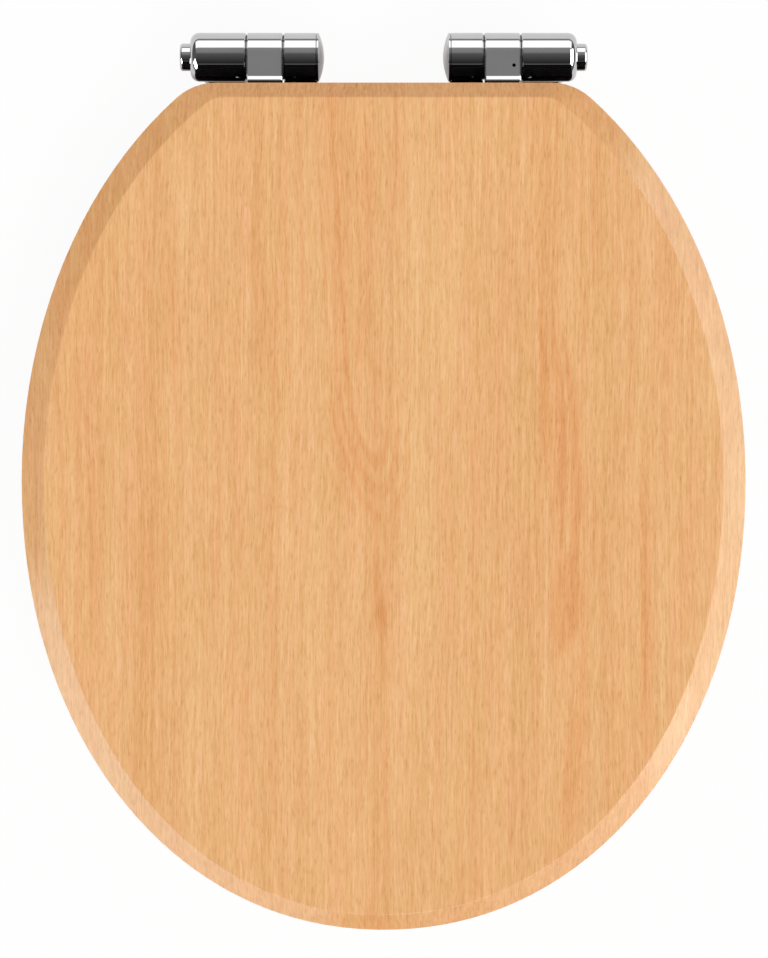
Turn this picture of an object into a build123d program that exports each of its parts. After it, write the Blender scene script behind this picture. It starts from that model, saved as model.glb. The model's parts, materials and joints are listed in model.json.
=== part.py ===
from build123d import *
import os
from math import copysign, cos, radians, sin, sqrt, tan

# A wooden toilet seat and lid on two chrome quick-release barrel hinges, in millimetres.
# +Z is up and +Y is to the back. The origin is midway between the pan studs, on top of the pan.
# The right-hand hinge is modelled, and the left-hand pieces are its mirror images.

# Heights, from the pan up
ring_buffer_height = 9.0
ring_thickness = 18.0
lid_gap = 5.0
lid_thickness = 17.0
axis_height = 28.0

# Lid outline: a half ellipse behind the widest line, cut straight at the back, and a fuller one before it
lid_half_width = 185.0
lid_back_to_widest = 203.0
lid_rear_ellipse = 238.0
lid_front_ellipse = 230.0
front_fullness = 2.08  # the exponent of the front curve, 2 in an ellipse
lid_corner_radius = 30.0
lid_to_barrel = 2.5  # from the barrels to the lid's back edge

# Lid bevel: how far the top face lies inside the outline, and how far above it
bevel_drop = 5.5
bevel_side = 12.0
bevel_front = 8.5
bevel_shoulder = 13.0
bevel_back = 8.0
bevel_corner_radius = 14.0
lid_edge_round = 1.2

# Ring
lid_overhang = 2.0
opening_half_width = 108.0
opening_half_length = 130.0
opening_rear_margin = 93.0
ring_top_round = 7.0
ring_bottom_round = 3.0

# Rubber buffers under the ring and the lid
buffer_radius = 11.0
buffer_edge_round = 1.5
buffer_peg_radius = 2.5
buffer_peg_length = 8.0
buffer_dimple_radius = 3.0
buffer_dimple_depth = 1.5
buffer_inset = 43.0  # from the ring's outline
rear_buffer_setback = 95.0  # from the hinge axis
front_buffer_setback = 350.0
lid_rest_gap = 0.25  # between the lid's buffers and the ring

# Hinge barrels, from the middle of the seat outwards
barrel_radius = 12.5
ring_barrel_start = 34.3
ring_barrel_length = 17.0
lid_barrel_length = 18.3
pillar_barrel_length = 28.6
segment_gap = 0.65
segment_chamfer = 0.6
pillar_end_round = 4.5
bore_radius = 9.5
key_width = 3.0
key_height = 0.8
cap_rise = 2.8
cap_rim = 0.8
cap_spigot_length = 3.0
pin_radius = 4.0
pin_flat = 3.2  # from the pin's axis to its flat
pin_grip = 6.0  # length of pin held in the pillar
washer_radius = 11.4
washer_thickness = 0.4

# Brackets
bracket_to_wood = 0.8  # from the wood's back edge to the bracket
plate_thickness = 3.0
plate_corner_radius = 5.0
ring_plate_width = 36.0
ring_plate_length = 44.0
lid_plate_width = 34.0
lid_plate_length = 40.0
plate_setback = 3.0  # from the wood's back edge to the wide part of the plate
ring_leg_thickness = 7.0
ring_leg_shoulder = 3.5
lid_flat_angle = 8.0
lid_lip_width = 2.7
lid_lip_rise = 0.76  # from the flat's front end to the lip
lid_lip_land = 0.3  # left flat beside the end chamfer
damper_pin_hole_radius = 0.9
damper_pin_hole_depth = 2.0
damper_pin_hole_inset = 3.5
damper_pin_hole_forward = 5.8

# Countersunk wood screws, three to a plate
screw_radius = 2.0
screw_head_radius = 3.8
screw_length = 13.0
screw_tip = 3.0
screw_recess_length = 4.2
screw_recess_width = 1.0
screw_recess_depth = 1.2
screw_edge = 8.0  # from the plate's edges to the screws

# Soft-close dampers
damper_wall = 1.6
damper_end_wall = 1.5
damper_rib_width = 5.0
damper_hub_wall = 1.6
damper_vane_thickness = 2.4
damper_vane_angle = -45.0

# Feet and pillars
pan_hole_spacing = 155.0
foot_radius = 12.0
foot_thickness = 8.0
foot_edge_round = 1.5
gasket_thickness = 1.5
gasket_inset = 0.5
gasket_hole_radius = 5.5
neck_radius = 9.0
spigot_offset = 15.6  # from the pillar's inner end
spigot_base_radius = 5.0
spigot_base_height = 7.5
spigot_radius = 3.25
spigot_groove_radius = 2.25
spigot_head_height = 2.6
spigot_chamfer = 0.8

# Release buttons
knob_radius = 7.0
knob_reach = 5.4
knob_round = 1.5
stem_radius = 4.95
stem_end_wall = 2.0
button_travel = 3.5
spring_wire_radius = 0.3
spring_turns = 2.5

# Pan studs with their washers and nuts
stud_radius = 4.0
stud_thread_radius = 3.4
stud_grip = 7.0  # length screwed into the foot
stud_shank_below_pan = 18.0
stud_reach_below_pan = 60.0
stud_tip_chamfer = 1.0
cone_top_radius = 6.5
cone_bottom_radius = 11.0
cone_height = 8.0
nut_radius = 8.0
nut_height = 10.0
nut_edge_round = 1.0
wing_reach = 18.0
wing_thickness = 4.0
wing_height = 12.0
wing_round = 1.8

# Clearances
fit_clearance = 0.05
slide_clearance = 0.1
free_clearance = 0.3
insert_end_gap = 0.2

# Places that follow from the sizes
ring_bottom = ring_buffer_height
ring_top = ring_bottom + ring_thickness
lid_bottom = ring_top + lid_gap
lid_top = lid_bottom + lid_thickness
lid_rim_top = lid_top - bevel_drop
lid_back_y = -barrel_radius - lid_to_barrel
widest_y = lid_back_y - lid_back_to_widest
ring_back_y = lid_back_y - lid_overhang
opening_centre_y = ring_back_y - opening_rear_margin - opening_half_length

ring_barrel_end = ring_barrel_start + ring_barrel_length
lid_barrel_start = ring_barrel_end + segment_gap
lid_barrel_end = lid_barrel_start + lid_barrel_length
pillar_start = lid_barrel_end + segment_gap
pillar_end = pillar_start + pillar_barrel_length
ring_barrel_middle = (ring_barrel_start + ring_barrel_end) / 2
lid_barrel_middle = (lid_barrel_start + lid_barrel_end) / 2
ring_insert_start = ring_barrel_start + cap_spigot_length + insert_end_gap
ring_insert_length = ring_barrel_end - insert_end_gap - ring_insert_start
lid_insert_start = lid_barrel_start + insert_end_gap
lid_insert_length = lid_barrel_length - 2 * insert_end_gap
pin_length = pillar_start + pin_grip - ring_insert_start

foot_top = gasket_thickness + foot_thickness
stud_x = pan_hole_spacing / 2
stud_places = [(stud_x, 0), (-stud_x, 0)]
spigot_x = pillar_start + spigot_offset
slot_half_width = spigot_groove_radius + free_clearance
keyhole_radius = spigot_radius + free_clearance
stem_bore_radius = stem_radius + slide_clearance
groove_bottom = axis_height - stem_radius - free_clearance
groove_top = axis_height + stem_radius + free_clearance
spigot_top = groove_top + spigot_head_height
stem_end = spigot_x - slot_half_width - stem_end_wall
stem_bore_end = stem_end - button_travel - free_clearance
knob_pocket_floor = spigot_x + keyhole_radius
knob_pocket_radius = knob_radius + free_clearance
spring_length = button_travel + 2 * spring_wire_radius * (spring_turns + 1)
knob_back = knob_pocket_floor + spring_length
knob_face = pillar_end + knob_reach

hinge_axis = Axis((0, 0, axis_height), (1, 0, 0))
front_step = 15  # degrees between the front curve's points


def save(piece, name):
    """Labels a finished piece and writes it under its own name."""
    piece.part.label = name
    export_step(piece.part, f"parts/{name}.step")


def save_mirrored(piece, name):
    """Writes the left-hand mirror image of a right-hand piece."""
    with BuildPart() as mirrored:
        mirror(piece.part, about=Plane.YZ)
    save(mirrored, name)


def curve_half_width(y, half_width, half_length, fullness):
    """Half the width of the plan on the line at y, or zero beyond the curve's end."""
    share = abs(y - widest_y) / half_length
    return half_width * max(0.0, 1 - share**fullness) ** (1 / fullness)


def front_points(half_width, half_length):
    """Points along the front curve, from its left end round to its right end."""
    points = []
    for degrees_round in range(0, 181, front_step):
        x_share = cos(radians(degrees_round))
        y_share = sin(radians(degrees_round))
        x = -half_width * copysign(abs(x_share) ** (2 / front_fullness), x_share)
        y = widest_y - half_length * abs(y_share) ** (2 / front_fullness)
        points.append((x, y))
    return points


def seat_outline(height, half_width, front, rear, back_y, corner_radius):
    """The seat's plan: a half ellipse behind the widest line, cut straight, and a fuller curve before it."""
    with BuildSketch(Plane.XY.offset(height)) as outline:
        with BuildLine():
            EllipticalCenterArc((0, widest_y), half_width, rear, 0, arc_size=180)
            Spline(*front_points(half_width, front), tangents=[(0, -1), (0, 1)], tangent_scalars=[1, 1])
        make_face()
        with Locations((0, back_y)):
            Rectangle(2 * half_width, rear, align=(Align.CENTER, Align.MIN), mode=Mode.SUBTRACT)
        fillet(outline.vertices().group_by(Axis.Y)[-1], corner_radius)
    return outline.sketch


def buffer_places():
    """The four places where the ring stands on the pan and the lid on the ring."""
    places = []
    for y, reach, fullness in [
        (-rear_buffer_setback, lid_rear_ellipse - lid_overhang, 2),
        (-front_buffer_setback, lid_front_ellipse - lid_overhang, front_fullness),
    ]:
        x = curve_half_width(y, lid_half_width - lid_overhang, reach, fullness) - buffer_inset
        places += [(x, y), (-x, y)]
    return places


def buffers(bottom, top):
    """Four dimpled rubber buffers between two heights, each with a peg that goes up into the wood."""
    with BuildPart() as group:
        with Locations(*[(x, y, bottom) for x, y in buffer_places()]):
            Cylinder(buffer_radius, top - bottom, align=(Align.CENTER, Align.CENTER, Align.MIN))
        fillet(group.edges().group_by(Axis.Z)[0], buffer_edge_round)
        with BuildSketch(Plane.XY.offset(bottom)):
            with Locations(*buffer_places()):
                Circle(buffer_dimple_radius)
        extrude(amount=buffer_dimple_depth, mode=Mode.SUBTRACT)
        with Locations(*[(x, y, top) for x, y in buffer_places()]):
            Cylinder(buffer_peg_radius, buffer_peg_length, align=(Align.CENTER, Align.CENTER, Align.MIN))
    return group


def plate_screw_places(middle_x, wood_back_y, width, length):
    """Three screws in a plate: two beside each other at the back and one at the front."""
    rear_y = wood_back_y - plate_setback - screw_edge
    front_y = wood_back_y - plate_setback - length + screw_edge
    side = width / 2 - screw_edge
    return [(middle_x - side, rear_y), (middle_x + side, rear_y), (middle_x, front_y)]


ring_screw_places = plate_screw_places(ring_barrel_middle, ring_back_y, ring_plate_width, ring_plate_length)
lid_screw_places = plate_screw_places(lid_barrel_middle, lid_back_y, lid_plate_width, lid_plate_length)


def both_sides(places):
    """Places on the right with their mirror images on the left."""
    return places + [(-x, y) for x, y in places]


def screws(places, plate_bottom):
    """Countersunk screws with cross recesses that go up through a plate into the wood."""
    head_height = screw_head_radius - screw_radius
    shank_length = screw_length - head_height - screw_tip
    base = (Align.CENTER, Align.CENTER, Align.MIN)
    with BuildPart() as group:
        for x, y in both_sides(places):
            with Locations((x, y, plate_bottom)):
                Cone(screw_head_radius, screw_radius, head_height, align=base)
            with Locations((x, y, plate_bottom + head_height)):
                Cylinder(screw_radius, shank_length, align=base)
            with Locations((x, y, plate_bottom + head_height + shank_length)):
                Cone(screw_radius, 0, screw_tip, align=base)
        with BuildSketch(Plane.XY.offset(plate_bottom)):
            with Locations(*both_sides(places)):
                Rectangle(screw_recess_length, screw_recess_width)
                Rectangle(screw_recess_width, screw_recess_length)
        extrude(amount=screw_recess_depth, mode=Mode.SUBTRACT)
    return group


def wood_pilot_holes(places, wood_bottom, depth, radius):
    """Cuts blind holes up into the piece of wood that is being built."""
    with BuildSketch(Plane.XY.offset(wood_bottom)) as holes:
        with Locations(*places):
            Circle(radius)
    return extrude(holes.sketch, amount=depth, mode=Mode.SUBTRACT)


def keyed_circle(start, radius, width, height):
    """A circle on the hinge axis with a key at its top, in a plane across the axis."""
    with BuildSketch(Plane.YZ.offset(start)) as section:
        with Locations((0, axis_height)):
            Circle(radius)
        with Locations((0, axis_height)):
            Rectangle(width, radius + height, align=(Align.CENTER, Align.MIN))
    return section.sketch


def pin_section(start, clearance):
    """The hinge pin's round section with its flat, in a plane across the axis."""
    with BuildSketch(Plane.YZ.offset(start)) as section:
        with Locations((0, axis_height)):
            Circle(pin_radius + clearance)
        with Locations((0, axis_height + pin_flat + clearance)):
            Rectangle(
                4 * pin_radius, 2 * pin_radius, align=(Align.CENTER, Align.MIN), mode=Mode.SUBTRACT
            )
    return section.sketch


def axis_disc(start, radius):
    """A circle on the hinge axis, in a plane across the axis."""
    with BuildSketch(Plane.YZ.offset(start)) as section:
        with Locations((0, axis_height)):
            Circle(radius)
    return section.sketch


os.makedirs("parts", exist_ok=True)

# The lid, a bevelled board
lid_outline = (lid_half_width, lid_front_ellipse, lid_rear_ellipse, lid_back_y, lid_corner_radius)
lid_top_outline = (
    lid_half_width - bevel_side,
    lid_front_ellipse - bevel_front,
    lid_rear_ellipse - bevel_shoulder,
    lid_back_y - bevel_back,
    bevel_corner_radius,
)
lid_plate_bottom = lid_bottom - plate_thickness
with BuildPart() as lid:
    extrude(seat_outline(lid_bottom, *lid_outline), amount=lid_rim_top - lid_bottom)
    loft([seat_outline(lid_rim_top, *lid_outline), seat_outline(lid_top, *lid_top_outline)], ruled=True)
    fillet(lid.edges().group_by(Axis.Z)[-1], lid_edge_round)
    fillet(lid.edges().group_by(Axis.Z)[0], lid_edge_round)
    wood_pilot_holes(
        both_sides(lid_screw_places),
        lid_bottom,
        screw_length - plate_thickness,
        screw_radius + fit_clearance,
    )
    wood_pilot_holes(buffer_places(), lid_bottom, buffer_peg_length, buffer_peg_radius + fit_clearance)
save(lid, "lid")

lid_buffers = buffers(ring_top + lid_rest_gap, lid_bottom)
save(lid_buffers, "lid_buffers")

# The seat ring, with its oval opening
with BuildPart() as seat_ring:
    extrude(
        seat_outline(
            ring_bottom,
            lid_half_width - lid_overhang,
            lid_front_ellipse - lid_overhang,
            lid_rear_ellipse - lid_overhang,
            ring_back_y,
            lid_corner_radius,
        ),
        amount=ring_thickness,
    )
    with BuildSketch(Plane.XY.offset(ring_bottom)):
        with Locations((0, opening_centre_y)):
            Ellipse(opening_half_width, opening_half_length)
    extrude(amount=ring_thickness, mode=Mode.SUBTRACT)
    fillet(seat_ring.edges().group_by(Axis.Z)[-1], ring_top_round)
    fillet(seat_ring.edges().group_by(Axis.Z)[0], ring_bottom_round)
    wood_pilot_holes(
        both_sides(ring_screw_places),
        ring_bottom,
        screw_length - plate_thickness,
        screw_radius + fit_clearance,
    )
    wood_pilot_holes(buffer_places(), ring_bottom, buffer_peg_length, buffer_peg_radius + fit_clearance)
save(seat_ring, "seat_ring")

ring_buffers = buffers(0, ring_bottom)
save(ring_buffers, "ring_buffers")


def bracket_plate(middle_x, tongue_width, tongue_back_y, wood_back_y, width, length, bottom):
    """A bracket's plate under the wood: a tongue from the barrel and a wide part for the screws."""
    plate_back_y = wood_back_y - plate_setback
    with BuildSketch(Plane.XY.offset(bottom)) as plate:
        with Locations((middle_x, tongue_back_y)):
            Rectangle(
                tongue_width,
                tongue_back_y - plate_back_y + plate_corner_radius,
                align=(Align.CENTER, Align.MAX),
            )
        with Locations((middle_x, plate_back_y - length / 2)):
            RectangleRounded(width, length, plate_corner_radius)
    return extrude(plate.sketch, amount=plate_thickness)


def countersunk_holes(places, plate_bottom):
    """Screw holes in a plate, countersunk from below."""
    with Locations(*[Plane((x, y, plate_bottom), z_dir=(0, 0, -1)) for x, y in places]):
        CounterSinkHole(
            screw_radius + fit_clearance,
            screw_head_radius + 2 * fit_clearance,
            depth=plate_thickness,
            counter_sink_angle=90,
        )


def end_profile(piece):
    """The edges round both ends of a barrel segment."""
    faces = piece.faces().sort_by(Axis.X)
    return faces[0].edges() + faces[-1].edges()


# Ring brackets: the inner barrels, with a leg behind the ring and a plate under it
ring_plate_bottom = ring_bottom - plate_thickness
ring_leg_front_y = ring_back_y + bracket_to_wood
ring_leg_back_y = ring_leg_front_y + ring_leg_thickness
with BuildPart() as right_ring_bracket:
    with BuildSketch(Plane.YZ.offset(ring_barrel_start)):
        with Locations((0, axis_height)):
            Circle(barrel_radius)
        with BuildLine():
            Polyline(
                (ring_leg_back_y, axis_height),
                (-barrel_radius, axis_height),
                (ring_leg_front_y, axis_height - ring_leg_shoulder),
                (ring_leg_front_y, ring_plate_bottom),
                (ring_leg_back_y, ring_plate_bottom),
                close=True,
            )
        make_face()
    extrude(amount=ring_barrel_length)
    chamfer(end_profile(right_ring_bracket), segment_chamfer)
    bracket_plate(
        ring_barrel_middle,
        ring_barrel_length - 2 * segment_chamfer,
        ring_leg_front_y,
        ring_back_y,
        ring_plate_width,
        ring_plate_length,
        ring_plate_bottom,
    )
    extrude(
        keyed_circle(ring_barrel_start, bore_radius, key_width, key_height),
        amount=ring_barrel_length,
        mode=Mode.SUBTRACT,
    )
    countersunk_holes(ring_screw_places, ring_plate_bottom)
save(right_ring_bracket, "right_ring_bracket")
save_mirrored(right_ring_bracket, "left_ring_bracket")

ring_bracket_screws = screws(ring_screw_places, ring_plate_bottom)
save(ring_bracket_screws, "ring_bracket_screws")

# Hinge caps: shallow domes that close the ring barrels' inner ends
cap_rim_start = ring_barrel_start - cap_rim
cap_dome_radius = (barrel_radius**2 + cap_rise**2) / (2 * cap_rise)
cap_dome_centre_x = cap_rim_start - cap_rise + cap_dome_radius
cap_dome_half_x = cap_dome_centre_x - sqrt(cap_dome_radius**2 - (barrel_radius / 2) ** 2)
with BuildPart() as right_hinge_cap:
    with BuildSketch(Plane.XZ):
        with BuildLine():
            dome = ThreePointArc(
                (cap_rim_start - cap_rise, axis_height),
                (cap_dome_half_x, axis_height + barrel_radius / 2),
                (cap_rim_start, axis_height + barrel_radius),
            )
            Polyline(
                dome @ 1,
                (ring_barrel_start, axis_height + barrel_radius),
                (ring_barrel_start, axis_height + bore_radius - fit_clearance),
                (ring_barrel_start + cap_spigot_length, axis_height + bore_radius - fit_clearance),
                (ring_barrel_start + cap_spigot_length, axis_height),
                dome @ 0,
            )
        make_face()
    revolve(axis=hinge_axis)
save(right_hinge_cap, "right_hinge_cap")
save_mirrored(right_hinge_cap, "left_hinge_cap")

# Lid brackets: the middle barrels, with a flat top that rises to a lip behind the lid
lid_arm_front_y = lid_back_y + bracket_to_wood
lid_flat_end_y = lid_arm_front_y + lid_lip_width
lid_flat_start_y = barrel_radius * sin(radians(lid_flat_angle))
lid_flat_start_z = axis_height + barrel_radius * cos(radians(lid_flat_angle))
lid_flat_slope = tan(radians(lid_flat_angle))


def lid_flat_height(y):
    """The height of the lid bracket's flat top at y."""
    return lid_flat_start_z + (lid_flat_start_y - y) * lid_flat_slope


lid_lip_z = lid_flat_height(lid_flat_end_y) + lid_lip_rise
lid_lip_back_y = lid_arm_front_y + lid_lip_land + segment_chamfer


def lid_bracket():
    """A right-hand lid bracket."""
    with BuildPart() as bracket:
        with BuildSketch(Plane.YZ.offset(lid_barrel_start)):
            with Locations((0, axis_height)):
                Circle(barrel_radius)
            with BuildLine():
                Polyline(
                    (lid_flat_start_y, lid_flat_start_z),
                    (lid_flat_end_y, lid_flat_height(lid_flat_end_y)),
                    (lid_lip_back_y, lid_lip_z),
                    (lid_arm_front_y, lid_lip_z),
                    (lid_arm_front_y, lid_plate_bottom),
                    (0, axis_height),
                    close=True,
                )
            make_face()
        extrude(amount=lid_barrel_length)
        chamfer(end_profile(bracket), segment_chamfer)
        bracket_plate(
            lid_barrel_middle,
            lid_barrel_length - 2 * segment_chamfer,
            lid_arm_front_y,
            lid_back_y,
            lid_plate_width,
            lid_plate_length,
            lid_plate_bottom,
        )
        extrude(
            keyed_circle(lid_barrel_start, bore_radius, key_width, key_height),
            amount=lid_barrel_length,
            mode=Mode.SUBTRACT,
        )
        countersunk_holes(lid_screw_places, lid_plate_bottom)
    return bracket


save_mirrored(lid_bracket(), "left_lid_bracket")

# Only the right-hand lid bracket has a small pin hole in its flat
pin_hole_top = lid_flat_height(-damper_pin_hole_forward)
with BuildPart() as right_lid_bracket:
    add(lid_bracket().part)
    with BuildSketch(Plane.XY.offset(pin_hole_top - damper_pin_hole_depth)):
        with Locations((lid_barrel_end - damper_pin_hole_inset, -damper_pin_hole_forward)):
            Circle(damper_pin_hole_radius)
    extrude(amount=2 * damper_pin_hole_depth, mode=Mode.SUBTRACT)
save(right_lid_bracket, "right_lid_bracket")

lid_bracket_screws = screws(lid_screw_places, lid_plate_bottom)
save(lid_bracket_screws, "lid_bracket_screws")


def bush(start, length):
    """A keyed plain bush that turns on the hinge pin."""
    with BuildPart() as piece:
        extrude(
            keyed_circle(
                start, bore_radius - fit_clearance, key_width - 2 * fit_clearance, key_height - fit_clearance
            ),
            amount=length,
        )
        extrude(axis_disc(start, pin_radius + fit_clearance), amount=length, mode=Mode.SUBTRACT)
    return piece


# The right lid barrel and the left ring barrel turn on bushes
right_lid_bush = bush(lid_insert_start, lid_insert_length)
save(right_lid_bush, "right_lid_bush")
save_mirrored(bush(ring_insert_start, ring_insert_length), "left_ring_bush")

# Damper sizes that follow from the barrel and the pin
damper_inner_radius = bore_radius - fit_clearance - damper_wall
damper_hub_radius = pin_radius + damper_hub_wall
damper_rib_start = damper_hub_radius + free_clearance


def damper_housing(start, length):
    """A keyed cup that turns with its barrel, with a rib that the fluid can't pass."""
    with BuildPart() as housing:
        extrude(
            keyed_circle(
                start, bore_radius - fit_clearance, key_width - 2 * fit_clearance, key_height - fit_clearance
            ),
            amount=length,
        )
        extrude(
            axis_disc(start + damper_end_wall, damper_inner_radius),
            amount=length - damper_end_wall,
            mode=Mode.SUBTRACT,
        )
        extrude(axis_disc(start, pin_radius + free_clearance), amount=length, mode=Mode.SUBTRACT)
        with BuildSketch(Plane.YZ.offset(start + damper_end_wall)):
            with Locations((0, axis_height - damper_rib_start)):
                Rectangle(
                    damper_rib_width,
                    damper_inner_radius - damper_rib_start + damper_wall / 2,
                    align=(Align.CENTER, Align.MAX),
                )
        extrude(amount=length - 2 * damper_end_wall)
    return housing


def damper_cover(start, length):
    """The disc that closes a damper's housing."""
    with BuildPart() as cover:
        cover_start = start + length - damper_end_wall
        extrude(axis_disc(cover_start, damper_inner_radius - fit_clearance), amount=damper_end_wall)
        extrude(
            axis_disc(cover_start, pin_radius + free_clearance), amount=damper_end_wall, mode=Mode.SUBTRACT
        )
    return cover


def damper_rotor(start, length):
    """A hub with one vane, held still by the pin's flat."""
    rotor_start = start + damper_end_wall + free_clearance
    rotor_length = length - 2 * (damper_end_wall + free_clearance)
    vane_length = damper_inner_radius - free_clearance - pin_radius - damper_hub_wall / 2
    with BuildPart() as rotor:
        with BuildSketch(Plane.YZ.offset(rotor_start)):
            with Locations((0, axis_height)):
                Circle(damper_hub_radius)
                with PolarLocations(pin_radius + damper_hub_wall / 2, 1, damper_vane_angle):
                    Rectangle(vane_length, damper_vane_thickness, align=(Align.MIN, Align.CENTER))
        extrude(amount=rotor_length)
        extrude(pin_section(rotor_start, fit_clearance), amount=rotor_length, mode=Mode.SUBTRACT)
    return rotor


# The left lid barrel and the right ring barrel hold dampers
for make_piece, piece_name in [
    (damper_housing, "damper_housing"),
    (damper_cover, "damper_cover"),
    (damper_rotor, "damper_rotor"),
]:
    save_mirrored(make_piece(lid_insert_start, lid_insert_length), f"lid_{piece_name}")
    save(make_piece(ring_insert_start, ring_insert_length), f"ring_{piece_name}")

# Hinge pins, and the thrust washers in the gaps between the barrels
with BuildPart() as right_hinge_pin:
    extrude(pin_section(ring_insert_start, 0), amount=pin_length)
save(right_hinge_pin, "right_hinge_pin")
save_mirrored(right_hinge_pin, "left_hinge_pin")

with BuildPart() as thrust_washers:
    for gap_start in (ring_barrel_end, lid_barrel_end):
        washer_start = gap_start + (segment_gap - washer_thickness) / 2
        extrude(axis_disc(washer_start, washer_radius), amount=washer_thickness)
        extrude(
            axis_disc(washer_start, pin_radius + slide_clearance),
            amount=washer_thickness,
            mode=Mode.SUBTRACT,
        )
    mirror(about=Plane.YZ)
save(thrust_washers, "thrust_washers")

# Pillars: the outer barrels, each on a neck that drops over the foot's spigot
with BuildPart() as right_pillar:
    extrude(axis_disc(pillar_start, barrel_radius), amount=pillar_barrel_length)
    fillet(right_pillar.edges().group_by(Axis.X)[-1], pillar_end_round)
    chamfer(right_pillar.edges().group_by(Axis.X)[0], segment_chamfer)
    with BuildSketch(Plane.XY.offset(foot_top)):
        with Locations((spigot_x, 0)):
            Circle(neck_radius)
    extrude(amount=axis_height - foot_top)
    extrude(
        axis_disc(knob_pocket_floor, knob_pocket_radius),
        amount=pillar_end - knob_pocket_floor,
        mode=Mode.SUBTRACT,
    )
    extrude(
        axis_disc(stem_bore_end, stem_bore_radius),
        amount=pillar_end - stem_bore_end,
        mode=Mode.SUBTRACT,
    )
    extrude(pin_section(pillar_start, fit_clearance), amount=pin_grip + fit_clearance, mode=Mode.SUBTRACT)
    with BuildSketch(Plane.XY.offset(foot_top)):
        with Locations((spigot_x, 0)):
            Circle(spigot_base_radius + fit_clearance)
    extrude(amount=spigot_base_height + fit_clearance, mode=Mode.SUBTRACT)
    with BuildSketch(Plane.XY.offset(foot_top)):
        with Locations((spigot_x, 0)):
            Circle(spigot_radius + fit_clearance)
    extrude(amount=spigot_top + free_clearance - foot_top, mode=Mode.SUBTRACT)
save(right_pillar, "right_pillar")
save_mirrored(right_pillar, "left_pillar")

# Feet: plates on the pan, screwed down by the studs, each with a grooved spigot for the pillar
with BuildPart() as right_foot:
    with BuildSketch(Plane.XY.offset(gasket_thickness)) as foot_plan:
        with Locations((stud_x, 0), (spigot_x, 0)):
            Circle(foot_radius)
        make_hull(foot_plan.edges())
    extrude(amount=foot_thickness)
    fillet(right_foot.edges().group_by(Axis.Z)[-1], foot_edge_round)
    with BuildSketch(Plane.XZ):
        with BuildLine():
            Polyline(
                (spigot_x, gasket_thickness + foot_thickness / 2),
                (spigot_x + spigot_base_radius, gasket_thickness + foot_thickness / 2),
                (spigot_x + spigot_base_radius, foot_top + spigot_base_height),
                (spigot_x + spigot_radius, foot_top + spigot_base_height),
                (spigot_x + spigot_radius, groove_bottom),
                (spigot_x + spigot_groove_radius, groove_bottom),
                (spigot_x + spigot_groove_radius, groove_top),
                (spigot_x + spigot_radius, groove_top),
                (spigot_x + spigot_radius, spigot_top - spigot_chamfer),
                (spigot_x + spigot_radius - spigot_chamfer, spigot_top),
                (spigot_x, spigot_top),
                close=True,
            )
        make_face()
    revolve(axis=Axis((spigot_x, 0, 0), (0, 0, 1)))
    with BuildSketch(Plane.XY.offset(gasket_thickness)):
        with Locations((stud_x, 0)):
            Circle(stud_thread_radius + fit_clearance)
    extrude(amount=stud_grip + fit_clearance, mode=Mode.SUBTRACT)
save(right_foot, "right_foot")
save_mirrored(right_foot, "left_foot")

with BuildPart() as foot_gaskets:
    with BuildSketch() as gasket_plan:
        with Locations((stud_x, 0), (spigot_x, 0)):
            Circle(foot_radius - gasket_inset)
        make_hull(gasket_plan.edges())
        with Locations((stud_x, 0)):
            Circle(gasket_hole_radius, mode=Mode.SUBTRACT)
    extrude(amount=gasket_thickness)
    mirror(about=Plane.YZ)
save(foot_gaskets, "foot_gaskets")

# Pan studs: a plain shank through the pan, threaded above into the foot and below for the nut
with BuildPart() as pan_studs:
    with BuildSketch(Plane.XY.offset(-stud_reach_below_pan)):
        with Locations(*stud_places):
            Circle(stud_thread_radius)
    extrude(amount=stud_reach_below_pan + gasket_thickness + stud_grip)
    chamfer(pan_studs.edges().group_by(Axis.Z)[0], stud_tip_chamfer)
    with BuildSketch(Plane.XY.offset(-stud_shank_below_pan)):
        with Locations(*stud_places):
            Circle(stud_radius)
    extrude(amount=stud_shank_below_pan + gasket_thickness - free_clearance)
save(pan_studs, "pan_studs")

# Rubber cone washers under the pan, and the wing nuts below them
cone_top = -stud_shank_below_pan - free_clearance
nut_top = cone_top - cone_height
with BuildPart() as cone_washers:
    with Locations(*[(x, y, cone_top) for x, y in stud_places]):
        Cone(cone_bottom_radius, cone_top_radius, cone_height, align=(Align.CENTER, Align.CENTER, Align.MAX))
        Cylinder(
            stud_thread_radius + fit_clearance,
            cone_height,
            align=(Align.CENTER, Align.CENTER, Align.MAX),
            mode=Mode.SUBTRACT,
        )
save(cone_washers, "cone_washers")

with BuildPart() as wing_nuts:
    with Locations(*[(x, y, nut_top) for x, y in stud_places]):
        Cylinder(nut_radius, nut_height, align=(Align.CENTER, Align.CENTER, Align.MAX))
    fillet(wing_nuts.edges().group_by(Axis.Z)[0], nut_edge_round)
    with BuildSketch(Plane.XY.offset(nut_top - wing_height)):
        with Locations(*stud_places):
            RectangleRounded(2 * wing_reach, wing_thickness, wing_round)
    extrude(amount=wing_height - nut_edge_round)
    with BuildSketch(Plane.XY.offset(nut_top - wing_height)):
        with Locations(*stud_places):
            Circle(stud_thread_radius + fit_clearance)
    extrude(amount=wing_height, mode=Mode.SUBTRACT)
save(wing_nuts, "wing_nuts")

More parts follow.
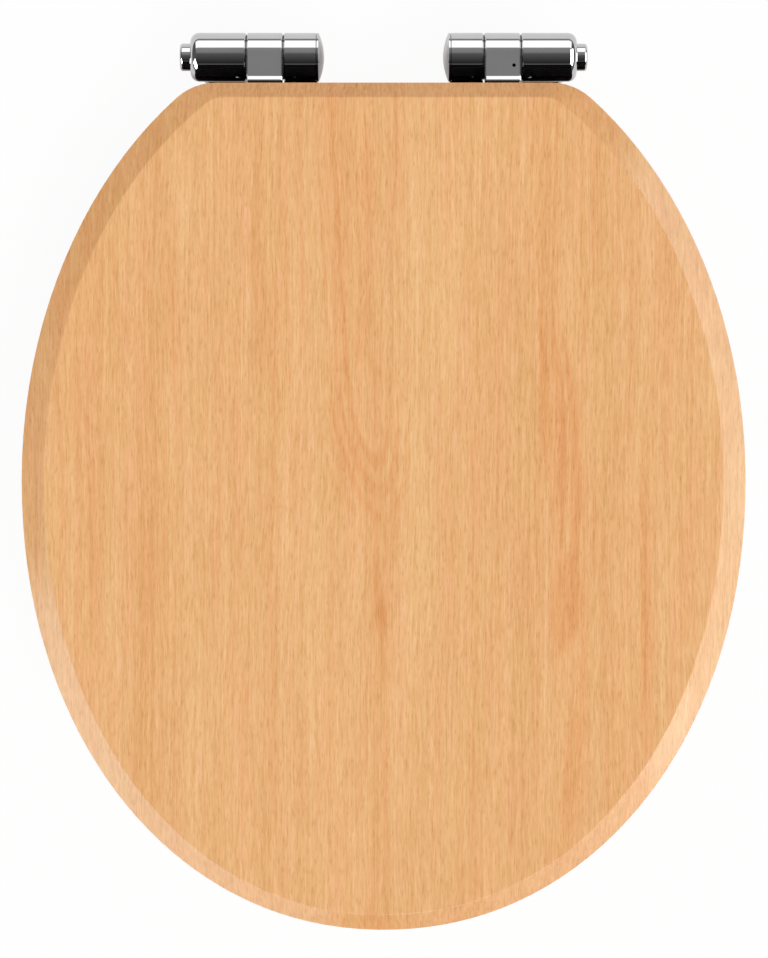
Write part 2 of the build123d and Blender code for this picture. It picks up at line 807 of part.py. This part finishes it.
# Release buttons: a knob on a stem whose keyhole locks round the spigot's groove
with BuildPart() as right_release_button:
    extrude(axis_disc(knob_back, knob_radius), amount=knob_face - knob_back)
    fillet(right_release_button.edges().group_by(Axis.X)[-1], knob_round)
    extrude(axis_disc(stem_end, stem_radius), amount=knob_back - stem_end)
    with BuildSketch(Plane.XY.offset(axis_height - stem_radius)):
        with Locations((spigot_x, 0)):
            Circle(slot_half_width)
            Rectangle(button_travel, 2 * slot_half_width, align=(Align.MIN, Align.CENTER))
        with Locations((spigot_x + button_travel, 0)):
            Circle(keyhole_radius)
    extrude(amount=2 * stem_radius, mode=Mode.SUBTRACT)
save(right_release_button, "right_release_button")
save_mirrored(right_release_button, "left_release_button")

# Button springs, round the stems between the pillar and the knob
spring_radius = (stem_radius + knob_pocket_radius) / 2
spring_start = knob_pocket_floor + spring_wire_radius
spring_height = spring_length - 2 * spring_wire_radius
with BuildPart() as right_button_spring:
    with BuildLine():
        coil = Helix(
            pitch=spring_height / spring_turns,
            height=spring_height,
            radius=spring_radius,
            center=(spring_start, 0, axis_height),
            direction=(1, 0, 0),
        )
    with BuildSketch(Plane(origin=coil @ 0, z_dir=coil % 0)):
        Circle(spring_wire_radius)
    sweep()
save(right_button_spring, "right_button_spring")
save_mirrored(right_button_spring, "left_button_spring")
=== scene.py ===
import json
import math

import bmesh
import bpy
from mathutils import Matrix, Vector


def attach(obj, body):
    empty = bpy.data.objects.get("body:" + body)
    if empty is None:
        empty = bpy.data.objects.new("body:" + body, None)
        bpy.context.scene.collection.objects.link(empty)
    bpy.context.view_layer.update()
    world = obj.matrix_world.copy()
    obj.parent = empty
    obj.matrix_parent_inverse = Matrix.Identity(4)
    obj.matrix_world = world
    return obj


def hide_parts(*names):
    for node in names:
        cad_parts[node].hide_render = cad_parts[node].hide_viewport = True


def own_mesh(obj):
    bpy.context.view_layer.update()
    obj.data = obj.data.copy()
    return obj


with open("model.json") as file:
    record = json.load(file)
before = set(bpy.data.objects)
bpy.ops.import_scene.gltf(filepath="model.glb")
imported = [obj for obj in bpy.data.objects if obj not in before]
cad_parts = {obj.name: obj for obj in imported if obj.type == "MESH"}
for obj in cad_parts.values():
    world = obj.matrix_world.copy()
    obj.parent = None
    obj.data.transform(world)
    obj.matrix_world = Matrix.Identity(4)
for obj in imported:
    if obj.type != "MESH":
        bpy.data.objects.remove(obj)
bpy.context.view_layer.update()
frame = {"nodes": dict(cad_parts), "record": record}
scene = bpy.context.scene
scene.view_settings.view_transform = "Standard"

# Sizes and places that the scene needs, in metres
LID_RIM_TOP = 0.0435
SEAT_MIDDLE_Y = -0.2176
LAMP_TARGET_Z = 0.04
FLOOR_Z = -0.0604
STUD_X = 0.0775
STUD_TIP_Z = -0.060
THREAD_TOP_Z = -0.0372
THREAD_TIP_GAP = 0.0014  # from the stud's tip to the middle of the first ridge
THREAD_END_GAPS = 0.0018  # left free at both ends together
THREAD_ROOT = 0.0034
THREAD_CREST = 0.00393
THREAD_PITCH = 0.00125

# The pin hole in the right lid bracket, in millimetres, as the materials measure
PIN_HOLE_X = 66.75
PIN_HOLE_Y = -5.8
PIN_HOLE_RADIUS = 0.9
PIN_HOLE_FLOOR_Z = 39.4  # to the nearest tenth

# The camera, straight above the lid, in metres
CAMERA_X = 0.0002
CAMERA_HEIGHT = 1.6  # above the lid's rim
VIEW_WIDTH = 0.3925  # across the picture at the lid's rim
SENSOR_WIDTH = 36.0  # in millimetres, as Blender has it


def linear(red, green, blue):
    """A colour given as sRGB bytes, in linear light with an alpha of 1."""
    channels = []
    for byte in (red, green, blue):
        share = byte / 255
        channels.append(share / 12.92 if share <= 0.04045 else ((share + 0.055) / 1.055) ** 2.4)
    return (*channels, 1.0)


class Graph:
    """Short calls that add and join shader nodes in one node tree."""

    def __init__(self, tree):
        self.tree = tree

    def node(self, kind, *values, **settings):
        made = self.tree.nodes.new(kind)
        for name, setting in settings.items():
            setattr(made, name, setting)
        for socket, value in zip(made.inputs, values):
            self.feed(socket, value)
        return made

    def feed(self, socket, value):
        if isinstance(value, bpy.types.NodeSocket):
            self.tree.links.new(value, socket)
        else:
            socket.default_value = value

    def maths(self, operation, *values, clamp=False):
        return self.node("ShaderNodeMath", *values, operation=operation, use_clamp=clamp).outputs[0]

    def add(self, first, *others):
        for other in others:
            first = self.maths("ADD", first, other)
        return first

    def times(self, first, *others):
        for other in others:
            first = self.maths("MULTIPLY", first, other)
        return first

    def vector(self, operation, *values):
        return self.node("ShaderNodeVectorMath", *values, operation=operation).outputs[0]

    def split(self, vector):
        return self.node("ShaderNodeSeparateXYZ", vector).outputs

    def join(self, x, y, z):
        return self.node("ShaderNodeCombineXYZ", x, y, z).outputs[0]

    def noise(self, vector, size, detail=2.0, roughness=0.5):
        """Noise whose features are about as large as the given size on each axis, about zero."""
        made = self.node("ShaderNodeTexNoise", noise_dimensions="3D")
        self.feed(made.inputs["Vector"], self.vector("MULTIPLY", vector, tuple(1 / s for s in size)))
        made.inputs["Scale"].default_value = 1.0
        made.inputs["Detail"].default_value = detail
        made.inputs["Roughness"].default_value = roughness
        return self.maths("SUBTRACT", made.outputs[0], 0.5)

    def remap(self, value, low, high, to_low=0.0, to_high=1.0):
        limits = (low, high, to_low, to_high)
        return self.node("ShaderNodeMapRange", value, *limits, interpolation_type="SMOOTHSTEP").outputs[0]

    def ramp(self, value, stops):
        made = self.node("ShaderNodeValToRGB", value)
        elements = made.color_ramp.elements
        while len(elements) < len(stops):
            elements.new(0.5)
        for element, (place, colour) in zip(elements, stops):
            element.position = place
            element.color = colour
        return made.outputs[0]

    def mix(self, share, first, second, blend="MIX"):
        made = self.node("ShaderNodeMix", data_type="RGBA", blend_type=blend)
        self.feed(made.inputs[0], share)
        self.feed(made.inputs[6], first)
        self.feed(made.inputs[7], second)
        return made.outputs[2]

    def spot(self, x, y, centre_x, centre_y, half_x, half_y, lean=0.0, curve=0.0):
        """A soft patch, one at its centre, that leans and curves sideways along its length."""
        along = self.maths("SUBTRACT", y, centre_y)
        middle = self.maths("MULTIPLY_ADD", along, self.maths("MULTIPLY_ADD", along, curve, lean), centre_x)
        across = self.maths("SUBTRACT", x, middle)
        across = self.maths("POWER", self.maths("ABSOLUTE", self.times(across, 1 / half_x)), 2.0)
        along = self.maths("POWER", self.maths("ABSOLUTE", self.times(along, 1 / half_y)), 2.0)
        return self.maths("EXPONENT", self.times(self.add(across, along), -1.0))

    def spots(self, x, y, *rows):
        """A sum of soft patches, each given as its strength and then a spot's numbers."""
        return self.add(*(self.times(self.spot(x, y, *numbers), strength) for strength, *numbers in rows))


def new_material(name):
    """A node material with its graph, its shader and its object coordinates in millimetres."""
    material = bpy.data.materials.new(name)
    material.use_nodes = True
    graph = Graph(material.node_tree)
    shader = material.node_tree.nodes["Principled BSDF"]
    coordinates = graph.node("ShaderNodeTexCoord").outputs["Object"]
    millimetres = graph.vector("MULTIPLY", coordinates, (1000.0, 1000.0, 1000.0))
    return material, graph, shader, millimetres


def bump(graph, shader, height, distance, strength):
    """Gives a shader a bump of so many metres from a height of about one."""
    made = graph.node("ShaderNodeBump")
    made.inputs["Strength"].default_value = strength
    made.inputs["Distance"].default_value = distance
    graph.feed(made.inputs["Height"], height)
    graph.feed(shader.inputs["Normal"], made.outputs[0])


def arches(graph, x, y, warped):
    """Growth rings cut along their cone: arches with their apexes towards the front."""
    pitch = 4.3
    back = graph.add(y, 167.0)
    bend = graph.spot(0.0, y, 0.0, -240.0, 1.0, 45.0)
    across = graph.maths("SUBTRACT", x, graph.maths("MULTIPLY_ADD", bend, 9.0, -10.0))
    ahead = graph.times(graph.maths("MINIMUM", back, 0.0), 1 / 3.6)
    ring = graph.maths("MULTIPLY_ADD", across, across, graph.maths("MULTIPLY_ADD", ahead, ahead, 16.0))
    ring = graph.maths("MULTIPLY_ADD", graph.maths("MAXIMUM", back, 0.0), -0.03, graph.maths("SQRT", ring))
    outward = graph.remap(ring, 5.5, 14.0, 0.1, 1.0)
    ring = graph.add(ring, graph.times(graph.noise(warped, (22, 110, 22), detail=1.0), 1.8), -3.2)
    wave = graph.remap(graph.maths("COSINE", graph.times(ring, 2 * math.pi / pitch)), -0.8, 0.9)
    second = graph.maths("COSINE", graph.times(ring, math.pi / pitch))
    second = graph.maths("MULTIPLY_ADD", second, 0.2, 0.8)
    reach = graph.maths("POWER", graph.maths("ABSOLUTE", graph.times(across, 1 / 23.0)), 4.0)
    reach = graph.times(graph.maths("EXPONENT", graph.times(reach, -1.0)), graph.remap(y, -246.0, -224.0))
    return graph.times(wave, second, reach, outward, graph.remap(across, 25.0, -12.0, 0.7, 1.0))


def plume(graph, x, y):
    """A folded red plume on the right: curved strokes over a lobe."""
    strokes = graph.maths(
        "MAXIMUM",
        graph.spot(x, y, 83.0, -176.0, 2.4, 44.0, -0.04),
        graph.spot(x, y, 91.5, -196.0, 2.0, 54.0, -0.05, -0.0004),
    )
    strokes = graph.maths("MAXIMUM", strokes, graph.spot(x, y, 99.0, -214.0, 2.6, 70.0, -0.04, -0.0009))
    lobe = graph.spot(x, y, 95.0, -281.0, 7.5, 24.0, 0.08)
    haze = graph.spot(x, y, 91.5, -210.0, 11.0, 82.0, -0.03)
    return graph.add(
        graph.times(graph.remap(strokes, 0.12, 0.62), 0.75),
        graph.remap(lobe, 0.1, 0.62),
        graph.times(haze, 0.25),
    )


def red_lines(graph, x, y):
    """Red lines beside the plume and before it, and a fence of them on the left."""
    pitch = 5.3
    fence = graph.maths("MULTIPLY_ADD", graph.maths("COSINE", graph.times(x, 2 * math.pi / pitch)), 0.5, 0.5)
    return graph.spots(
        x, y,
        (0.95, 101.5, -350.0, 2.2, 55.0, 0.05),
        (0.85, 95.5, -375.0, 2.0, 48.0, 0.05),
        (1.0, 134.5, -290.0, 2.6, 72.0),
        (0.4, 27.6, -221.0, 1.6, 26.0),
        (graph.times(fence, 0.5), -115.5, -245.0, 9.0, 110.0),
    )


def knot(graph, x, y):
    """A small knot with a flame behind it and a tail in front."""
    return graph.spots(
        x, y,
        (1.6, -1.0, -287.0, 3.0, 6.0),
        (0.55, -4.0, -272.0, 4.5, 19.0, -0.16),
        (0.5, 0.5, -308.0, 1.6, 18.0, -0.05),
    )


def pale_columns(graph, x, y):
    """Paler columns along the grain."""
    return graph.spots(
        x, y,
        (1.0, 16.0, -130.0, 8.0, 110.0),
        (1.0, 20.0, -285.0, 12.0, 36.0, 0.12),
        (0.8, -40.0, -190.0, 6.0, 160.0),
        (1.4, -103.0, -72.0, 6.5, 28.0, -0.12),
        (0.7, -93.0, -355.0, 6.0, 45.0, 0.05),
        (0.8, -107.0, -190.0, 3.5, 26.0, -0.08),
    )


def figure(graph, x, y, warped):
    """What a board's figure adds to its redness and to its tone."""
    apex = graph.spot(x, y, -15.0, -211.0, 6.0, 30.0, -0.4)
    core = graph.spot(x, y, -10.5, -66.0, 4.5, 24.0)
    # Each patch with its share in the redness and its share in the tone
    patches = (
        (arches(graph, x, y, warped), 0.75, -0.11),
        (apex, 0.5, -0.04),
        (core, 0.3, -0.08),
        (plume(graph, x, y), 1.0, -0.14),
        (red_lines(graph, x, y), 1.0, -0.07),
        (knot(graph, x, y), 0.9, -0.17),
        (pale_columns(graph, x, y), -0.35, 0.12),
    )
    redness = graph.add(*(graph.times(patch, redder) for patch, redder, _ in patches))
    tone = graph.add(*(graph.times(patch, lighter) for patch, _, lighter in patches))
    return redness, tone


def beech(graph, tone, red, pink, pores):
    """The colour of beech from its tone, with red streaks, pink bands and dark pores."""
    colour = graph.ramp(tone, [
        (0.0, linear(217, 163, 105)),
        (0.25, linear(225, 173, 116)),
        (0.5, linear(233, 182, 126)),
        (0.75, linear(239, 190, 136)),
        (1.0, linear(245, 198, 146)),
    ])
    colour = graph.mix(red, colour, (0.985, 0.87, 0.80, 1.0), "MULTIPLY")
    colour = graph.mix(pink, colour, (1.0, 0.945, 0.97, 1.0), "MULTIPLY")
    return graph.mix(pores, colour, (0.88, 0.84, 0.77, 1.0), "MULTIPLY")


def wood_material(name, shift, figured):
    """Lacquered beech with its grain along Y. A figured board has arches, a knot and a red plume."""
    material, graph, shader, millimetres = new_material(name)
    place = graph.vector("ADD", millimetres, shift)
    x, y, z = graph.split(place)
    sway = graph.times(graph.noise(place, (70, 330, 70), detail=1.0), 14.0)
    ripple = graph.times(graph.noise(place, (16, 85, 16), detail=1.0), 3.0)
    x = graph.add(x, sway, ripple)
    warped = graph.join(x, y, z)
    beside = graph.vector("ADD", warped, (0.0, 0.0, 90.0))

    broad = graph.noise(warped, (15, 520, 18))
    medium = graph.noise(warped, (4.6, 190, 6))
    fine = graph.noise(warped, (1.25, 95, 1.8))
    fibre = graph.noise(warped, (0.85, 12.0, 4.0), roughness=0.7)
    tone = graph.add(
        0.53,
        graph.times(broad, 0.44),
        graph.times(medium, 0.34),
        graph.times(fine, 0.8),
        graph.times(fibre, 1.5),
    )
    streaks = graph.noise(warped, (3.6, 210, 5))
    bands = graph.noise(warped, (26, 400, 30), detail=1.0)
    red = graph.add(0.2, graph.times(streaks, 1.15), graph.times(bands, 0.7))
    pink = graph.remap(graph.noise(beside, (6.0, 85, 8)), -0.16, 0.16)
    pores = graph.remap(graph.noise(beside, (0.6, 5.0, 4.0), detail=1.0), 0.03, 0.24)
    if figured:
        redder, lighter = figure(graph, x, y, warped)
        red = graph.add(red, redder)
        tone = graph.add(tone, lighter)

    colour = beech(graph, tone, red, pink, pores)
    # Bevels and edges that cut across the grain are darker and redder, partly as end grain and partly as
    # painted shade on the bevels
    normal = graph.split(graph.node("ShaderNodeTexCoord").outputs["Normal"])
    cut = graph.maths("MULTIPLY", graph.maths("ABSOLUTE", normal[1]), 2.4, clamp=True)
    colour = graph.mix(cut, colour, (0.93, 0.85, 0.75, 1.0), "MULTIPLY")
    # Painted shade in reflections: seen in the hinges' chrome, the rear of the wood is painted near black
    rear = graph.remap(graph.split(millimetres)[1], -90.0, -50.0)
    painted_shade_in_chrome = graph.times(graph.node("ShaderNodeLightPath").outputs["Is Glossy Ray"], rear)
    colour = graph.mix(painted_shade_in_chrome, colour, (0.02, 0.018, 0.019, 1.0))
    graph.feed(shader.inputs["Base Color"], colour)
    dull = graph.noise(place, (22, 60, 22))
    graph.feed(shader.inputs["Roughness"], graph.add(0.2, graph.times(dull, 0.08), graph.times(fibre, 0.06)))
    # Bevels and edges are glossier than the flats
    gloss = graph.remap(graph.maths("ABSOLUTE", normal[2]), 0.985, 0.95, 0.06, 0.25)
    # The painted shade in the chrome also takes the gloss off the rear of the wood
    gloss = graph.times(gloss, graph.maths("SUBTRACT", 1.0, painted_shade_in_chrome))
    graph.feed(shader.inputs["Specular IOR Level"], gloss)
    relief = graph.add(graph.times(fine, 0.6), fibre, graph.times(medium, 0.4))
    bump(graph, shader, relief, distance=0.00004, strength=0.3)
    return material


def chrome_material():
    """Polished chrome with faint wipe marks."""
    material, graph, shader, place = new_material("chrome_polished")
    shader.inputs["Metallic"].default_value = 1.0
    wipe = graph.noise(place, (3.0, 14.0, 5.0), detail=3.0)
    cloud = graph.noise(place, (9.0, 9.0, 9.0))
    least_rough = 0.02
    rough = graph.add(0.05, graph.times(wipe, 0.04), graph.times(cloud, 0.03))
    graph.feed(shader.inputs["Roughness"], graph.maths("MAXIMUM", rough, least_rough))
    colour = graph.ramp(graph.add(cloud, 0.5), [
        (0.2, (0.585, 0.58, 0.59, 1.0)),
        (0.8, (0.625, 0.62, 0.63, 1.0)),
    ])
    # Painted shade: the pin hole's wall and floor are painted near black, with a soft edge just outside its
    # wall and just under its floor
    x, y, z = graph.split(place)
    aside = graph.maths("SUBTRACT", x, PIN_HOLE_X)
    along = graph.maths("SUBTRACT", y, PIN_HOLE_Y)
    painted_hole_shade = graph.maths("SQRT", graph.add(graph.times(aside, aside), graph.times(along, along)))
    painted_hole_shade = graph.remap(painted_hole_shade, PIN_HOLE_RADIUS + 0.09, PIN_HOLE_RADIUS + 0.01)
    painted_hole_shade = graph.times(painted_hole_shade, graph.remap(z, PIN_HOLE_FLOOR_Z - 0.4, PIN_HOLE_FLOOR_Z - 0.1))
    graph.feed(shader.inputs["Base Color"], graph.mix(painted_hole_shade, colour, (0.02, 0.02, 0.02, 1.0)))
    return material


def steel_material():
    """Turned steel with fine rings and a few dull patches."""
    material, graph, shader, place = new_material("steel_turned")
    shader.inputs["Metallic"].default_value = 1.0
    lines = graph.noise(place, (1.6, 1.6, 0.12))
    dull = graph.noise(place, (4.0, 4.0, 4.0), detail=3.0)
    tone = graph.add(0.5, graph.times(dull, 0.8), graph.times(lines, 0.5))
    colour = graph.ramp(tone, [
        (0.15, (0.30, 0.295, 0.29, 1.0)),
        (0.5, (0.42, 0.42, 0.425, 1.0)),
        (0.9, (0.52, 0.525, 0.53, 1.0)),
    ])
    graph.feed(shader.inputs["Base Color"], colour)
    graph.feed(shader.inputs["Roughness"], graph.add(0.3, graph.times(dull, 0.22), graph.times(lines, 0.2)))
    bump(graph, shader, lines, distance=0.00003, strength=0.4)
    return material


def moulded_material(name, dark, light, roughness, grain, depth):
    """A moulded material with a fine pebbled surface, between two linear colours."""
    material, graph, shader, place = new_material(name)
    pebble = graph.noise(place, (grain, grain, grain))
    cloud = graph.noise(place, (7.0, 7.0, 7.0), detail=3.0)
    tone = graph.add(0.5, graph.times(cloud, 0.9), graph.times(pebble, 0.5))
    graph.feed(shader.inputs["Base Color"], graph.ramp(tone, [(0.15, dark), (0.85, light)]))
    rough = graph.add(roughness, graph.times(cloud, 0.15), graph.times(pebble, 0.1))
    graph.feed(shader.inputs["Roughness"], rough)
    bump(graph, shader, pebble, distance=depth, strength=0.5)
    return material


chrome = chrome_material()
steel = steel_material()
rubber = moulded_material(
    "rubber_pale", linear(196, 193, 186), linear(214, 212, 206), roughness=0.72, grain=0.5, depth=0.00005)
dark_plastic = moulded_material(
    "plastic_dark", linear(26, 26, 28), linear(40, 40, 43), roughness=0.5, grain=0.35, depth=0.00003)
white_plastic = moulded_material(
    "plastic_white", linear(216, 216, 211), linear(229, 229, 225), roughness=0.45, grain=0.6, depth=0.00003)
by_slot = {
    "chrome": chrome,
    "steel": steel,
    "rubber": rubber,
    "dark_plastic": dark_plastic,
    "white_plastic": white_plastic,
}
wood_by_node = {
    "lid": wood_material("wood_lid", shift=(0.0, 0.0, 0.0), figured=True),
    "seat_ring": wood_material("wood_ring", shift=(431.0, 170.0, 55.0), figured=False),
}
for row in frame["record"]["subparts"]:
    node = frame["nodes"][row["node"]]
    material = wood_by_node.get(row["node"]) or by_slot[row["material_slot"]]
    for slot in node.material_slots:
        slot.material = material


def thread_mesh(name, centre_x):
    """A rolled thread on a stud, as one ridge that winds up from near the tip."""
    steps = 40  # in one turn
    taper = 0.6  # turns over which the ridge rises at each end
    turns = (THREAD_TOP_Z - STUD_TIP_Z - THREAD_END_GAPS) / THREAD_PITCH
    count = int(turns * steps)
    root = THREAD_ROOT - 0.0001  # a little inside the stud
    root_half = 0.46 * THREAD_PITCH
    crest_half = 0.08 * THREAD_PITCH
    shape = bmesh.new()
    rows = []
    for index in range(count + 1):
        angle = 2 * math.pi * index / steps
        middle = STUD_TIP_Z + THREAD_TIP_GAP + THREAD_PITCH * index / steps
        ends = min(index, count - index) / (steps * taper)
        crest = THREAD_ROOT + (THREAD_CREST - THREAD_ROOT) * min(1.0, ends)
        profile = ((root, -root_half), (crest, -crest_half), (crest, crest_half), (root, root_half))
        row = []
        for radius, rise in profile:
            place = (centre_x + radius * math.cos(angle), radius * math.sin(angle), middle + rise)
            row.append(shape.verts.new(place))
        rows.append(row)
    for low, high in zip(rows, rows[1:]):
        for side in range(4):
            shape.faces.new((low[side], high[side], high[(side + 1) % 4], low[(side + 1) % 4]))
    shape.faces.new(rows[0])
    shape.faces.new(rows[-1][::-1])
    bmesh.ops.recalc_face_normals(shape, faces=shape.faces)
    mesh = bpy.data.meshes.new(name)
    shape.to_mesh(mesh)
    shape.free()
    made = bpy.data.objects.new(name, mesh)
    scene.collection.objects.link(made)
    made.data.materials.append(steel)
    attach(made, "hinge_base")


thread_mesh("right_stud_thread", STUD_X)
thread_mesh("left_stud_thread", -STUD_X)


def spring_coil(side):
    """A button's spring, copied from its part onto the hinge base, with the part hidden."""
    node = f"{side}_button_spring"
    made = bpy.data.objects.new(f"{side}_spring_coil", frame["nodes"][node].data.copy())
    scene.collection.objects.link(made)
    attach(made, "hinge_base")
    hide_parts(node)
    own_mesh(made)


spring_coil("right")
spring_coil("left")


def floor():
    """A plain pale floor that looks white and keeps the part's shadow."""
    mesh = bpy.data.meshes.new("floor")
    reach = 6.0
    corners = ((-reach, -reach), (reach, -reach), (reach, reach), (-reach, reach))
    mesh.from_pydata([(x, y, FLOOR_Z) for x, y in corners], [], [(0, 1, 2, 3)])
    made = bpy.data.objects.new("floor", mesh)
    scene.collection.objects.link(made)
    material = bpy.data.materials.new("floor_white")
    material.use_nodes = True
    tree = material.node_tree
    tree.nodes.clear()
    graph = Graph(tree)
    path = graph.node("ShaderNodeLightPath").outputs
    white = 0.95
    white_in_metal = 0.3
    to_camera = graph.maths("MAXIMUM", path["Is Camera Ray"], path["Is Transmission Ray"])
    in_metal = graph.times(path["Is Glossy Ray"], white_in_metal)
    seen = graph.maths("MAXIMUM", graph.times(to_camera, white), in_metal)
    paper = graph.node("ShaderNodeBsdfDiffuse", (0.86, 0.86, 0.86, 1.0)).outputs[0]
    glow = graph.node("ShaderNodeEmission", (1.0, 1.0, 1.0, 1.0), 1.0).outputs[0]
    mixed = graph.node("ShaderNodeMixShader", seen, paper, glow).outputs[0]
    graph.node("ShaderNodeOutputMaterial", mixed)
    made.data.materials.append(material)


floor()


def studio_world():
    """White to the camera, an even pale light on the part, and a studio's bands in the chrome."""
    ambient = 0.26
    side_level = 0.12
    top_level = 2.0  # the ramp holds the bands as shares of this
    world = bpy.data.worlds.new("studio")
    world.use_nodes = True
    world.cycles.sampling_method = "NONE"
    scene.world = world
    tree = world.node_tree
    tree.nodes.clear()
    graph = Graph(tree)
    direction = graph.node("ShaderNodeTexCoord").outputs["Generated"]
    x, y, z = graph.split(direction)
    # Zero at the horizon behind the seat, a half overhead and one at the horizon in front of it
    over = graph.maths("MULTIPLY", graph.maths("ARCTAN2", z, y), 1 / math.pi)
    bands = graph.ramp(over, [
        (place, (level / top_level, level / top_level, level / top_level, 1.0))
        for place, level in (
            (0.0, 0.30), (0.055, 0.28), (0.072, 1.75), (0.272, 1.75), (0.288, 0.36), (0.41, 0.29),
            (0.45, 0.13), (0.60, 0.06), (0.705, 0.022), (0.715, 0.16), (0.728, 0.16), (0.738, 0.006),
            (1.0, 0.004),
        )
    ])
    bands = graph.times(graph.node("ShaderNodeRGBToBW", bands).outputs[0], top_level)
    # The bands end towards the sides
    aside = graph.remap(graph.maths("ABSOLUTE", x), 0.42, 0.62)
    bands = graph.maths("MULTIPLY_ADD", aside, graph.maths("SUBTRACT", side_level, bands), bands)
    path = graph.node("ShaderNodeLightPath").outputs
    seen = graph.maths("MAXIMUM", path["Is Camera Ray"], path["Is Transmission Ray"])
    glossy = path["Is Glossy Ray"]
    level = graph.add(
        graph.times(glossy, bands),
        graph.times(graph.maths("SUBTRACT", 1.0, glossy), ambient),
    )
    level = graph.maths("MAXIMUM", seen, level)
    background = graph.node("ShaderNodeBackground", (1.0, 1.0, 1.0, 1.0), level).outputs[0]
    graph.node("ShaderNodeOutputWorld", background)


studio_world()


def lamp(name, kind, place, power):
    """A lamp that looks at the middle of the lid."""
    light = bpy.data.lights.new(name, kind)
    light.energy = power
    made = bpy.data.objects.new(name, light)
    made.location = place
    target = Vector((0.0, SEAT_MIDDLE_Y, LAMP_TARGET_Z))
    aim = target - made.location
    made.rotation_euler = aim.to_track_quat("-Z", "Y").to_euler()
    made.visible_camera = False
    scene.collection.objects.link(made)
    return made, light


def key_light(place, power):
    """A broad distant light from above, a little from the front and the right."""
    made, light = lamp("key", "SUN", place, power)
    light.angle = math.radians(32.0)
    made.visible_glossy = False


def gloss_panel(name, colour, nodes, place, size, power):
    """A panel that shows in gloss alone, on the named nodes."""
    made, light = lamp(name, "AREA", place, power)
    light.color = colour
    light.shape = "RECTANGLE"
    light.size, light.size_y = size
    made.visible_diffuse = False
    receivers = bpy.data.collections.new(name + "_receivers")
    for node in nodes:
        receivers.objects.link(frame["nodes"][node])
    made.light_linking.receiver_collection = receivers


cool = (0.7, 0.93, 1.0)
neutral = (1.0, 1.0, 1.0)
hardware = [node for node in frame["nodes"] if node not in wood_by_node]
key_light(place=(0.42, -0.84, 2.1), power=2.5)
gloss_panel("wood_right", cool, wood_by_node, place=(1.4, -0.2, 1.35), size=(2.5, 1.3), power=63.0)
gloss_panel("wood_left", cool, wood_by_node, place=(-1.05, -1.42, 1.0), size=(2.3, 1.0), power=53.0)
gloss_panel("wood_front", cool, wood_by_node, place=(0.8, -1.47, 1.0), size=(1.9, 1.0), power=33.0)
gloss_panel("hardware_right", neutral, hardware, place=(1.4, -0.2, 1.35), size=(2.5, 1.3), power=60.0)
gloss_panel("hardware_left", neutral, hardware, place=(-1.2, -1.1, 1.0), size=(1.5, 1.0), power=30.0)

camera = bpy.data.cameras.new("camera")
camera.sensor_fit = "HORIZONTAL"
camera.sensor_width = SENSOR_WIDTH
camera.lens = SENSOR_WIDTH * CAMERA_HEIGHT / VIEW_WIDTH
camera.clip_end = 50.0
viewer = bpy.data.objects.new("camera", camera)
viewer.location = (CAMERA_X, SEAT_MIDDLE_Y, LID_RIM_TOP + CAMERA_HEIGHT)
scene.collection.objects.link(viewer)
scene.camera = viewer
